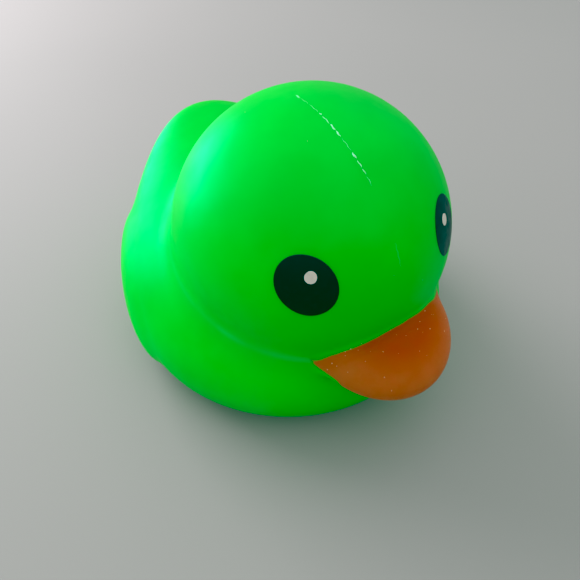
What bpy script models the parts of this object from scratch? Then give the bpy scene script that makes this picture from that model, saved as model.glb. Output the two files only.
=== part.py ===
"""A big soft squeeze duck, moulded in one piece, with a sprayed bill and printed eyes.

Units are metres, +Z is up and the duck looks along -Y. The flat underside lies on Z = 0 and the
origin is the middle of the duck's bounding box there. Round forms are melted into one skin, so each
fillet is a named width, and the paint and the prints are fields of colour on that one skin.
"""
import math
from functools import partial

import bmesh
import bpy
import numpy as np
from mathutils import Matrix, Vector

MM = 0.001

# Head: a ball, whose middle is the point that every other form is placed from
HEAD_RADIUS = 45.0 * MM
HEAD_HEIGHT = 54.0 * MM

# Body: a squat round form, widest just above the flat underside
BODY_HALF_WIDTH = 59.0 * MM
BODY_HALF_LENGTH = 61.6 * MM
BODY_SHOULDER = 43.2 * MM
BODY_BELLY = 31.7 * MM
BODY_WIDEST_HEIGHT = 18.5 * MM
BODY_BEHIND_HEAD = 15.6 * MM

# Wings: a low swelling on each side, with its hind end up and turned in towards the tail
WING_OUT = 50.6 * MM
WING_BEHIND_HEAD = 38.1 * MM
WING_HEIGHT = 21.5 * MM
WING_HALF_THICKNESS = 8.0 * MM
WING_HALF_LENGTH = 28.9 * MM
WING_HALF_DEPTH = 13.2 * MM
WING_PITCH = math.radians(24.7)
WING_TURN = math.radians(16.1)

# Tail: a broad blade that sweeps up behind, with wide fillets into the body
TAIL_BEHIND_HEAD = 47.7 * MM
TAIL_HEIGHT = 28.0 * MM
TAIL_HALF_WIDTH = 33.0 * MM
TAIL_HALF_LENGTH = 53.0 * MM
TAIL_HALF_THICKNESS = 13.0 * MM
TAIL_PITCH = math.radians(38.7)

# Bill: half an oval seen from above, crowned on top and flatter below, that droops a little. The soft
# moulding carries it slightly to the duck's left
BILL_AHEAD_OF_HEAD = 33.1 * MM
BILL_TO_LEFT = 2.7 * MM
BILL_HEIGHT = 37.5 * MM
BILL_HALF_WIDTH = 24.3 * MM
BILL_LENGTH = 26.6 * MM
BILL_CROWN = 13.1 * MM
BILL_UNDERSIDE = 5.2 * MM
BILL_PITCH = math.radians(14.3)

# Fillets between the forms
TAIL_FILLET = 45.1 * MM
WING_FILLET = 9.0 * MM
NECK_FILLET = 8.5 * MM
BILL_FILLET = 4.0 * MM
UNDERSIDE_FILLET = 11.0 * MM

# Eye prints: an upright oval on each side of the head, with a white spot; the two pads that printed
# them did not land quite alike. Turn is from straight ahead, lean is the oval's top away from the bill
EYE_HALF_HEIGHT = 8.8 * MM
EYE_HALF_WIDTH = 7.6 * MM
SPOT_RADIUS = 1.5 * MM
EYE_PRINTS = (
    {"turn": -34.9, "rise": 20.2, "lean": 39.0, "spot_turn": -33.5, "spot_rise": 23.6},
    {"turn": 31.3, "rise": 20.2, "lean": -4.0, "spot_turn": 29.9, "spot_rise": 24.4},
)

# Fineness of the skin
ROUGH_CELL = 2.2 * MM
BILL_EDGE = 2.1 * MM
EYE_EDGE = 1.4 * MM
SPOT_EDGE = 0.7 * MM
SKIN_TRIANGLES = 6400
FLAT_TOLERANCE = 0.05 * MM

# Bands of skin made finer round each outline, where 1 is the outline itself
BILL_BAND = (-math.inf, 1.15)
EYE_BAND = (-math.inf, 1.25)
SPOT_BAND = (-math.inf, 2.2)

# How near an outline a vertex counts as on it, and how near an edge's end it slides there
ON_OUTLINE = 0.01
SLIDE_SHARE = 0.35

ALL_WAYS = {"use_axis_x": True, "use_axis_y": True, "use_axis_z": True}

# Name, colour and roughness of each finish, in the order of their slots
FINISHES = (
    ("soft_green", (0.0, 0.53, 0.03), 0.38),
    ("sprayed_orange", (0.33, 0.07, 0.002), 0.45),
    ("printed_black", (0.002, 0.010, 0.006), 0.25),
    ("printed_white", (0.62, 0.62, 0.56), 0.35),
)
ORANGE, BLACK, WHITE = range(1, len(FINISHES))

HEAD_MIDDLE = np.array((0.0, 0.0, HEAD_HEIGHT))


def clear_scene():
    """Remove whatever the file holds."""
    for thing in list(bpy.data.objects):
        bpy.data.objects.remove(thing, do_unlink=True)


def make_finishes():
    """One Principled material for each finish."""
    made = []
    for name, colour, roughness in FINISHES:
        material = bpy.data.materials.new(name)
        material.use_nodes = True
        shader = material.node_tree.nodes["Principled BSDF"]
        shader.inputs["Base Color"].default_value = (*colour, 1.0)
        shader.inputs["Roughness"].default_value = roughness
        shader.inputs["Metallic"].default_value = 0.0
        made.append(material)
    return made


def egg(middle, half, drop=None, pitch=0.0, turn=0.0):
    """A round form: its middle, half sizes, drop below the middle, and how it is tipped and turned."""
    spin = Matrix.Rotation(turn, 3, "Z") @ Matrix.Rotation(pitch, 3, "X")
    return {"middle": np.array(middle), "half": half, "drop": drop or half[2], "spin": np.array(spin)}


def body_form():
    middle = (0.0, BODY_BEHIND_HEAD, BODY_WIDEST_HEIGHT)
    return egg(middle, (BODY_HALF_WIDTH, BODY_HALF_LENGTH, BODY_SHOULDER), drop=BODY_BELLY)


def wing_form(side):
    middle = (side * WING_OUT, WING_BEHIND_HEAD, WING_HEIGHT)
    half = (WING_HALF_THICKNESS, WING_HALF_LENGTH, WING_HALF_DEPTH)
    return egg(middle, half, pitch=WING_PITCH, turn=side * WING_TURN)


def tail_form():
    middle = (0.0, TAIL_BEHIND_HEAD, TAIL_HEIGHT)
    return egg(middle, (TAIL_HALF_WIDTH, TAIL_HALF_LENGTH, TAIL_HALF_THICKNESS), pitch=TAIL_PITCH)


def bill_form():
    middle = (BILL_TO_LEFT, -BILL_AHEAD_OF_HEAD, BILL_HEIGHT)
    return egg(middle, (BILL_HALF_WIDTH, BILL_LENGTH, BILL_CROWN), drop=BILL_UNDERSIDE, pitch=BILL_PITCH)


def head_form():
    return egg(HEAD_MIDDLE, (HEAD_RADIUS, HEAD_RADIUS, HEAD_RADIUS))


def gap_to(form, points):
    """How far each point is from a form's skin, negative inside."""
    local = (points - form["middle"]) @ form["spin"]
    half = np.empty_like(local)
    half[:] = form["half"]
    half[:, 2] = np.where(local[:, 2] < 0.0, form["drop"], form["half"][2])
    reach = np.linalg.norm(local / half, axis=1)
    slope = np.linalg.norm(local / half**2, axis=1)
    return reach * (reach - 1.0) / np.maximum(slope, 1e-9)


def melt(first, second, fillet):
    """Join two distances with a fillet of that width."""
    overlap = np.maximum(fillet - np.abs(first - second), 0.0)
    return np.minimum(first, second) - overlap**2 / (4.0 * fillet)


def gap_without_bill(points):
    skin = melt(gap_to(body_form(), points), gap_to(tail_form(), points), TAIL_FILLET)
    for side in (-1, 1):
        skin = melt(skin, gap_to(wing_form(side), points), WING_FILLET)
    return melt(skin, gap_to(head_form(), points), NECK_FILLET)


def gap_to_duck(points):
    """How far each point is from the duck's whole skin, with its flat underside."""
    skin = melt(gap_without_bill(points), gap_to(bill_form(), points), BILL_FILLET)
    return -melt(-skin, points[:, 2], UNDERSIDE_FILLET)


def read_points(mesh):
    return np.array([vertex.co for vertex in mesh.verts])


def write_points(mesh, points):
    for vertex, point in zip(mesh.verts, points):
        vertex.co = point


def slope_of(gap, points):
    """The direction in which a distance grows, at each point."""
    step = 0.02 * MM
    slope = np.empty_like(points)
    for axis in range(3):
        shift = np.zeros(3)
        shift[axis] = step
        slope[:, axis] = (gap(points + shift) - gap(points - shift)) / (2.0 * step)
    return slope


def settle(mesh, rounds=4, most=1.5 * MM):
    """Move each vertex straight on to the duck's skin."""
    points = read_points(mesh)
    for _ in range(rounds):
        slope = slope_of(gap_to_duck, points)
        pull = gap_to_duck(points) / np.maximum((slope**2).sum(axis=1), 0.05)
        points -= np.clip(pull, -most, most)[:, None] * slope
    write_points(mesh, points)


def relax(mesh, rounds):
    """Even out the vertices' spacing and keep them on the skin."""
    for _ in range(rounds):
        bmesh.ops.smooth_vert(mesh, verts=mesh.verts[:], factor=0.5, **ALL_WAYS)
        settle(mesh, rounds=2)


def add_egg(mesh, form):
    """Add one form to a rough mesh as a closed ball, stretched and turned."""
    ball = bmesh.ops.create_icosphere(mesh, subdivisions=4, radius=1.0)["verts"]
    spin = Matrix(form["spin"].tolist())
    across, along, above = form["half"]
    for vertex in ball:
        height = form["drop"] if vertex.co.z < 0.0 else above
        stretched = Vector((vertex.co.x * across, vertex.co.y * along, vertex.co.z * height))
        vertex.co = spin @ stretched + Vector(form["middle"])


def rough_duck():
    """All the forms as overlapping balls, made into one closed skin in two goes, the second for an even
    skin over the wide fillets, and thinned out."""
    mesh = bmesh.new()
    for form in (head_form(), body_form(), tail_form(), wing_form(-1), wing_form(1), bill_form()):
        add_egg(mesh, form)
    data = bpy.data.meshes.new("duck_body")
    mesh.to_mesh(data)
    mesh.free()
    duck = bpy.data.objects.new("duck_body", data)
    bpy.context.collection.objects.link(duck)
    for _ in range(2):
        remesh = duck.modifiers.new("one_skin", "REMESH")
        remesh.mode = "VOXEL"
        remesh.voxel_size = ROUGH_CELL
        bake(duck)
        reshape(duck, lambda skin: relax(skin, rounds=6))
    thin = duck.modifiers.new("thin_out", "DECIMATE")
    thin.ratio = SKIN_TRIANGLES / sum(len(face.vertices) - 2 for face in duck.data.polygons)
    bake(duck)
    return duck


def bake(thing):
    """Put an object's evaluated mesh in the place of its own."""
    seen = thing.evaluated_get(bpy.context.evaluated_depsgraph_get())
    data = bpy.data.meshes.new_from_object(seen)
    old = thing.data
    thing.modifiers.clear()
    thing.data = data
    bpy.data.meshes.remove(old)
    data.name = thing.name


def reshape(thing, work):
    """Run one piece of mesh work on an object."""
    mesh = bmesh.new()
    mesh.from_mesh(thing.data)
    work(mesh)
    mesh.to_mesh(thing.data)
    mesh.free()


def direction(turn, rise):
    """A unit vector from the head's middle: turned from straight ahead towards +X, then raised."""
    turn = math.radians(turn)
    rise = math.radians(rise)
    level = math.cos(rise)
    return Vector((math.sin(turn) * level, -math.cos(turn) * level, math.sin(rise)))


def eye_reach(eye, points):
    """How far across an eye's oval each point on the head lies: 1 on its outline."""
    ahead = direction(eye["turn"], eye["rise"])
    side = Vector((0.0, 0.0, 1.0)).cross(ahead).normalized()
    up = ahead.cross(side)
    away = side if eye["turn"] > 0.0 else -side
    lean = math.radians(eye["lean"])
    tall = up * math.cos(lean) + away * math.sin(lean)
    wide = away * math.cos(lean) - up * math.sin(lean)
    rays = points - HEAD_MIDDLE
    in_front = rays @ np.array(ahead) > 0.0
    height = rays @ np.array(tall) / EYE_HALF_HEIGHT
    width = rays @ np.array(wide) / EYE_HALF_WIDTH
    return np.where(in_front, np.hypot(height, width), np.nan)


def spot_reach(eye, points):
    """The same for an eye's white spot."""
    middle = np.array(direction(eye["spot_turn"], eye["spot_rise"])) * HEAD_RADIUS + HEAD_MIDDLE
    return np.linalg.norm(points - middle, axis=1) / SPOT_RADIUS


def bill_reach(points):
    """Under 1 where the skin belongs to the bill and over 1 elsewhere."""
    return 1.0 + (gap_to(bill_form(), points) - gap_without_bill(points)) / BILL_LENGTH


def bill_rim_reach(points):
    """The bill's rim, where its crown meets its underside: under 1 below it, and no number off the bill."""
    bill = bill_form()
    above = (points - bill["middle"]) @ bill["spin"][:, 2]
    return np.where(bill_reach(points) < 1.0, 1.0 + above / BILL_LENGTH, np.nan)


def inside_band(mesh, reach, band):
    """The vertices whose reach lies in a band."""
    low, high = band
    value = reach(read_points(mesh))
    return {vertex for vertex, at in zip(mesh.verts, value) if low < at < high}


def even_out(mesh, near):
    """Flip the long thin triangles among some vertices, and space those vertices evenly between outlines."""
    loose = [edge for edge in mesh.edges if near.issuperset(edge.verts) and not edge.seam]
    faces = {face for edge in loose for face in edge.link_faces}
    bmesh.ops.beautify_fill(mesh, faces=list(faces), edges=loose, method="ANGLE")
    inner = []
    for vertex in near:
        around = {other for face in vertex.link_faces for other in face.verts}
        if near.issuperset(around) and not any(edge.seam for edge in vertex.link_edges):
            inner.append(vertex)
    for _ in range(3):
        bmesh.ops.smooth_vert(mesh, verts=inner, factor=0.5, **ALL_WAYS)
        settle(mesh)


def refine(mesh, reach, band, longest):
    """Split the edges in a band until none there is longer than a limit, and even them out."""
    for _ in range(4):
        near = inside_band(mesh, reach, band)
        long = [edge for edge in mesh.edges if near.issuperset(edge.verts) and edge.calc_length() > longest]
        if not long:
            break
        bmesh.ops.subdivide_edges(mesh, edges=long, cuts=1)
        bmesh.ops.triangulate(mesh, faces=mesh.faces[:])
        settle(mesh)
    even_out(mesh, inside_band(mesh, reach, band))


def across_outline(mesh, reach):
    """How far each vertex is past an outline, with those that lie on it at nought."""
    value = reach(read_points(mesh)) - 1.0
    mesh.verts.index_update()
    return np.where(np.abs(value) < ON_OUTLINE, 0.0, value)


def crossings(mesh, value):
    """Each edge that crosses an outline, with the share of its length at which it does."""
    found = []
    for edge in mesh.edges:
        first, second = (value[vertex.index] for vertex in edge.verts)
        if first * second < 0.0:
            found.append((edge, first / (first - second)))
    return found


def slide(mesh, reach):
    """Slide each vertex that nearly lies on an outline on to it, by its shortest way."""
    moves = {}
    for edge, share in crossings(mesh, across_outline(mesh, reach)):
        if SLIDE_SHARE < share < 1.0 - SLIDE_SHARE:
            continue
        first, second = edge.verts
        place = first.co.lerp(second.co, share)
        mover = first if share < 0.5 else second
        shift = (place - mover.co).length
        if mover not in moves or shift < moves[mover][0]:
            moves[mover] = (shift, place)
    for mover, (_, place) in moves.items():
        mover.co = place
    settle(mesh)


def cut(mesh, reach, band):
    """Make edges run along an outline: slide what is near on to it, and split what still crosses it."""
    slide(mesh, reach)
    for edge, share in crossings(mesh, across_outline(mesh, reach)):
        bmesh.utils.edge_split(edge, edge.verts[0], share)
    value = across_outline(mesh, reach)
    mesh.verts.ensure_lookup_table()
    on_it = [mesh.verts[int(at)] for at in np.flatnonzero(value == 0.0)]
    bmesh.ops.connect_verts(mesh, verts=on_it)
    bmesh.ops.triangulate(mesh, faces=mesh.faces[:])
    settle(mesh)
    outline = set(on_it)
    for edge in mesh.edges:
        edge.seam = edge.seam or outline.issuperset(edge.verts)
    even_out(mesh, inside_band(mesh, reach, band))


def flatten_underside(mesh):
    """Make the underside one flat face on the ground."""
    for vertex in mesh.verts:
        if vertex.co.z < FLAT_TOLERANCE:
            vertex.co.z = 0.0
    flat = [face for face in mesh.faces if all(vertex.co.z == 0.0 for vertex in face.verts)]
    bmesh.ops.dissolve_faces(mesh, faces=flat, use_verts=True)
    bmesh.ops.triangulate(mesh, faces=mesh.faces[:])


def fill(mesh, reach, finish):
    """Give a finish to each face whose corners lie inside an outline or on it."""
    value = across_outline(mesh, reach)
    for face in mesh.faces:
        if sum(value[vertex.index] for vertex in face.verts) < 0.0:
            face.material_index = finish


def colour_fields(mesh):
    """Colour what each outline encloses."""
    fill(mesh, bill_reach, ORANGE)
    for eye in EYE_PRINTS:
        fill(mesh, partial(eye_reach, eye), BLACK)
        fill(mesh, partial(spot_reach, eye), WHITE)


def draw_fields(mesh):
    """Cut the outlines of paint and print into the skin, and the bill's rim."""
    refine(mesh, bill_reach, BILL_BAND, BILL_EDGE)
    cut(mesh, bill_reach, BILL_BAND)
    cut(mesh, bill_rim_reach, BILL_BAND)
    for eye in EYE_PRINTS:
        for reach, band, longest in ((eye_reach, EYE_BAND, EYE_EDGE), (spot_reach, SPOT_BAND, SPOT_EDGE)):
            outline = partial(reach, eye)
            refine(mesh, outline, band, longest)
            cut(mesh, outline, band)
    bmesh.ops.dissolve_degenerate(mesh, dist=FLAT_TOLERANCE, edges=mesh.edges[:])


def finish_skin(mesh):
    """Bring the skin to its true form, draw the fields and flatten the underside."""
    bmesh.ops.triangulate(mesh, faces=mesh.faces[:])
    settle(mesh)
    draw_fields(mesh)
    flatten_underside(mesh)
    colour_fields(mesh)
    bmesh.ops.recalc_face_normals(mesh, faces=mesh.faces[:])


def centre_on_box(mesh):
    """Bring the origin to the middle of the duck's own box."""
    points = read_points(mesh)
    middle = (points.min(axis=0) + points.max(axis=0)) / 2.0
    write_points(mesh, points - (middle[0], middle[1], 0.0))


def make_duck():
    duck = rough_duck()
    for material in make_finishes():
        duck.data.materials.append(material)
    reshape(duck, finish_skin)
    reshape(duck, centre_on_box)
    duck.data.shade_smooth()
    return duck


def main():
    clear_scene()
    make_duck()


main()
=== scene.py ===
"""The looks of a soft squeeze duck, built round its packed construction model.

One green skin stands for the moulding, with the bill's sprayed coat as a field of colour on it. The
pad-printed eyes, the torn flash along the mould's parting line and the dust that stuck to the paint are
fine pieces of their own that lie on that skin. Lengths are in metres, +Z is up and the duck looks
along -Y. The duck is built with its head's middle over the origin and is then moved to its place.
"""
from __future__ import annotations

import logging
import math
from dataclasses import dataclass, field
from enum import Enum

import bmesh
import bpy
import numpy as np
from mathutils import Matrix, Vector

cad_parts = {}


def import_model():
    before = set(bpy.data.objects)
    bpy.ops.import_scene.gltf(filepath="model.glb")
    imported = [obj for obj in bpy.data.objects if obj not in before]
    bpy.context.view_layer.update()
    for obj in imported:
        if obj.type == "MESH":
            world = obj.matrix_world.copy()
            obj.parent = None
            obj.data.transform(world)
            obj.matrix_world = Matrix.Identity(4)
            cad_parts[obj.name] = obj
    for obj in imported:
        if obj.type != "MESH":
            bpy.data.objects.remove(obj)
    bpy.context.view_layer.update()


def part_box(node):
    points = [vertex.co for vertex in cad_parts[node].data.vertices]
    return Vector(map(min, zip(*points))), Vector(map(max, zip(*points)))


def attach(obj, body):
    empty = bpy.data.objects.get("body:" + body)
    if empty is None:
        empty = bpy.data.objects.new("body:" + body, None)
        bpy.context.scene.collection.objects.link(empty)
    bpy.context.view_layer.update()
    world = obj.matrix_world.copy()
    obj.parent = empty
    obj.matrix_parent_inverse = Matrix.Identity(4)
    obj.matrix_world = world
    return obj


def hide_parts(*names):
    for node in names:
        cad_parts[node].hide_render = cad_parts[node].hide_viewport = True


LOG = logging.getLogger("squeeze_duck")
MM = 0.001
BODY = "root"
NODE = "duck_body"
Colour = tuple[float, float, float]
Point = tuple[float, float, float]
Socket = bpy.types.NodeSocket


class Slot(Enum):
    """The record's finishes, by the part of the duck that wears each."""

    SKIN = "soft_green"
    BILL = "sprayed_orange"
    EYE = "printed_black"
    SPOT = "printed_white"


# Mesh helpers


def read_points(mesh: bpy.types.Mesh) -> np.ndarray:
    """Every vertex of a mesh.

    Args:
        mesh: The mesh to read.

    Returns:
        One row of three coordinates for each vertex.
    """
    points = np.empty(len(mesh.vertices) * 3, np.float32)
    mesh.vertices.foreach_get("co", points)
    return points.reshape(-1, 3).astype(float)


def write_points(mesh: bpy.types.Mesh, points: np.ndarray) -> None:
    """Put new places, as rows of three coordinates, into a mesh's vertices."""
    mesh.vertices.foreach_set("co", points.astype(np.float32).ravel())
    mesh.update()


def read_edges(mesh: bpy.types.Mesh) -> np.ndarray:
    """The two vertices of every edge.

    Args:
        mesh: The mesh to read.

    Returns:
        One row of two vertex numbers for each edge.
    """
    edges = np.empty(len(mesh.edges) * 2, np.int32)
    mesh.edges.foreach_get("vertices", edges)
    return edges.reshape(-1, 2)


def neighbour_mean(points: np.ndarray, edges: np.ndarray) -> np.ndarray:
    """The mean of each vertex's neighbours.

    Args:
        points: The vertices.
        edges: The pairs of vertices that are joined.

    Returns:
        One mean place for each vertex.
    """
    first, second = edges.T
    total = np.empty_like(points)
    for axis in range(3):
        total[:, axis] = np.bincount(first, points[second, axis], len(points))
        total[:, axis] += np.bincount(second, points[first, axis], len(points))
    count = np.bincount(edges.ravel(), minlength=len(points))
    return total / count[:, None]


def new_object(name: str, mesh: bpy.types.Mesh) -> bpy.types.Object:
    """An object with a mesh, linked to the scene and shaded smooth.

    Args:
        name: The piece's name.
        mesh: Its mesh.

    Returns:
        The new object.
    """
    mesh.name = name
    mesh.shade_smooth()
    thing = bpy.data.objects.new(name, mesh)
    bpy.context.scene.collection.objects.link(thing)
    return thing


def mesh_of(points: list | np.ndarray, faces: list) -> bpy.types.Mesh:
    """A mesh from its points and faces.

    Args:
        points: The vertices.
        faces: The vertex numbers of each face.

    Returns:
        The new mesh, with its faces pointing out.
    """
    mesh = bpy.data.meshes.new("piece")
    mesh.from_pydata([tuple(map(float, point)) for point in points], [], faces)
    work = bmesh.new()
    work.from_mesh(mesh)
    bmesh.ops.recalc_face_normals(work, faces=work.faces[:])
    work.to_mesh(mesh)
    work.free()
    return mesh


def float_attribute(mesh: bpy.types.Mesh, name: str, values: np.ndarray) -> None:
    """Keep one number for each vertex under a name, for a material to read."""
    kept = mesh.attributes.new(name, "FLOAT", "POINT")
    kept.data.foreach_set("value", values.astype(np.float32))


def bell(values: np.ndarray | float, width: float) -> np.ndarray | float:
    """A bump for each value: 1 at nought, and fading away over a width on both sides."""
    return np.exp(-((values / width) ** 2))


# The duck's form


@dataclass(frozen=True)
class Egg:
    """A round form: its middle, half sizes, drop below the middle, and how it is tipped and turned."""

    middle: Point
    half: Point
    drop: float
    pitch: float = 0.0
    turn: float = 0.0

    def spin(self) -> Matrix:
        """The egg's own axes as the columns of a matrix."""
        return Matrix.Rotation(self.turn, 3, "Z") @ Matrix.Rotation(self.pitch, 3, "X")

    def local(self, points: np.ndarray) -> np.ndarray:
        """Points as the egg's own axes see them."""
        return (points - np.array(self.middle)) @ np.array(self.spin())

    def gap(self, points: np.ndarray) -> np.ndarray:
        """How far points are from the egg's skin.

        Args:
            points: The points to measure.

        Returns:
            One distance for each point, negative inside.
        """
        local = self.local(points)
        half = np.empty_like(local)
        half[:] = self.half
        half[:, 2] = np.where(local[:, 2] < 0.0, self.drop, self.half[2])
        reach = np.linalg.norm(local / half, axis=1)
        slope = np.linalg.norm(local / half**2, axis=1)
        return reach * (reach - 1.0) / np.maximum(slope, 1e-9)

    def add_ball(self, work: bmesh.types.BMesh) -> None:
        """Add the egg to a rough mesh as a closed ball, stretched and turned.

        Args:
            work: The mesh that gains the ball.
        """
        ball = bmesh.ops.create_icosphere(work, subdivisions=5, radius=1.0)["verts"]
        across, along, above = self.half
        spin = self.spin()
        for vertex in ball:
            height = self.drop if vertex.co.z < 0.0 else above
            stretched = Vector((vertex.co.x * across, vertex.co.y * along, vertex.co.z * height))
            vertex.co = spin @ stretched + Vector(self.middle)


def melt(first: np.ndarray, second: np.ndarray, fillet: float) -> np.ndarray:
    """Join the distances from two forms with a fillet of some width."""
    overlap = np.maximum(fillet - np.abs(first - second), 0.0)
    return np.minimum(first, second) - overlap**2 / (4.0 * fillet)


@dataclass(frozen=True)
class DuckForm:
    """The moulding's form, with the construction model's own sizes, placed from the head's middle."""

    head_radius: float = 45.0 * MM
    head_height: float = 54.0 * MM
    body_half_width: float = 59.0 * MM
    body_half_length: float = 61.6 * MM
    body_shoulder: float = 43.2 * MM
    body_belly: float = 31.7 * MM
    body_widest_height: float = 18.5 * MM
    body_behind_head: float = 15.6 * MM
    wing_out: float = 50.6 * MM
    wing_behind_head: float = 38.1 * MM
    wing_height: float = 21.5 * MM
    wing_half_thickness: float = 8.0 * MM
    wing_half_length: float = 28.9 * MM
    wing_half_depth: float = 13.2 * MM
    wing_pitch: float = math.radians(24.7)
    wing_turn: float = math.radians(16.1)
    tail_behind_head: float = 47.7 * MM
    tail_height: float = 28.0 * MM
    tail_half_width: float = 33.0 * MM
    tail_half_length: float = 53.0 * MM
    tail_half_thickness: float = 13.0 * MM
    tail_pitch: float = math.radians(38.7)
    bill_ahead_of_head: float = 33.1 * MM
    bill_to_left: float = 2.7 * MM
    bill_height: float = 37.5 * MM
    bill_half_width: float = 24.3 * MM
    bill_length: float = 26.6 * MM
    bill_crown: float = 13.1 * MM
    bill_underside: float = 5.2 * MM
    bill_pitch: float = math.radians(14.3)
    tail_fillet: float = 45.1 * MM
    wing_fillet: float = 9.0 * MM
    neck_fillet: float = 8.5 * MM
    bill_fillet: float = 4.0 * MM
    underside_fillet: float = 11.0 * MM

    def head(self) -> Egg:
        """The ball head."""
        radius = self.head_radius
        return Egg((0.0, 0.0, self.head_height), (radius, radius, radius), radius)

    def body(self) -> Egg:
        """The squat body, widest just above the ground.

        Returns:
            The egg.
        """
        middle = (0.0, self.body_behind_head, self.body_widest_height)
        half = (self.body_half_width, self.body_half_length, self.body_shoulder)
        return Egg(middle, half, self.body_belly)

    def wing(self, side: int) -> Egg:
        """The wing on one side.

        Args:
            side: -1 for the right and 1 for the left.

        Returns:
            The egg.
        """
        middle = (side * self.wing_out, self.wing_behind_head, self.wing_height)
        half = (self.wing_half_thickness, self.wing_half_length, self.wing_half_depth)
        return Egg(middle, half, self.wing_half_depth, self.wing_pitch, side * self.wing_turn)

    def tail(self) -> Egg:
        """The upswept tail.

        Returns:
            The egg.
        """
        middle = (0.0, self.tail_behind_head, self.tail_height)
        half = (self.tail_half_width, self.tail_half_length, self.tail_half_thickness)
        return Egg(middle, half, self.tail_half_thickness, self.tail_pitch)

    def bill(self) -> Egg:
        """The bill, crowned on top and flatter below.

        Returns:
            The egg.
        """
        middle = (self.bill_to_left, -self.bill_ahead_of_head, self.bill_height)
        half = (self.bill_half_width, self.bill_length, self.bill_crown)
        return Egg(middle, half, self.bill_underside, self.bill_pitch)

    def eggs(self) -> list[Egg]:
        """Every round form that the duck is melted from."""
        return [self.head(), self.body(), self.tail(), self.wing(-1), self.wing(1), self.bill()]

    def gap_without_bill(self, points: np.ndarray) -> np.ndarray:
        """How far points are from the duck's skin, were it without its bill.

        Args:
            points: The points to measure.

        Returns:
            One distance for each point, negative inside.
        """
        skin = melt(self.body().gap(points), self.tail().gap(points), self.tail_fillet)
        for side in (-1, 1):
            skin = melt(skin, self.wing(side).gap(points), self.wing_fillet)
        return melt(skin, self.head().gap(points), self.neck_fillet)

    def gap(self, points: np.ndarray) -> np.ndarray:
        """How far points are from the whole skin, with its flat underside.

        Args:
            points: The points to measure.

        Returns:
            One distance for each point, negative inside.
        """
        skin = melt(self.gap_without_bill(points), self.bill().gap(points), self.bill_fillet)
        return -melt(-skin, points[:, 2], self.underside_fillet)

    def past_bill(self, points: np.ndarray) -> np.ndarray:
        """How far points lie past the bill's root line: negative on the bill."""
        return self.bill().gap(points) - self.gap_without_bill(points)

    def slope(self, points: np.ndarray, step: float = 0.02 * MM) -> np.ndarray:
        """The way out of the skin at each point.

        Args:
            points: The points, on the skin or near it.
            step: How far apart the distances are measured.

        Returns:
            One direction for each point, about a unit long.
        """
        slope = np.empty_like(points)
        for axis in range(3):
            shift = np.zeros(3)
            shift[axis] = step
            slope[:, axis] = (self.gap(points + shift) - self.gap(points - shift)) / (2.0 * step)
        return slope

    def settle(self, points: np.ndarray, rounds: int = 3, most: float = 1.5 * MM) -> np.ndarray:
        """Move points straight on to the skin.

        Args:
            points: The points to move.
            rounds: How often each is moved.
            most: The longest single move.

        Returns:
            The moved points.
        """
        for _ in range(rounds):
            slope = self.slope(points)
            pull = self.gap(points) / np.maximum((slope**2).sum(axis=1), 0.05)
            points = points - np.clip(pull, -most, most)[:, None] * slope
        return points

    def direction(self, turn: float, rise: float) -> Vector:
        """A way out of the head's middle.

        Args:
            turn: Degrees from straight ahead towards the duck's left.
            rise: Degrees above the level.

        Returns:
            The unit vector.
        """
        level = math.cos(math.radians(rise))
        sideways = math.sin(math.radians(turn)) * level
        ahead = math.cos(math.radians(turn)) * level
        return Vector((sideways, -ahead, math.sin(math.radians(rise))))


# Finishes


# Where a cloudy pattern's darkest and palest patches lie.
CLOUD_RANGE = (0.3, 0.7)


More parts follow.
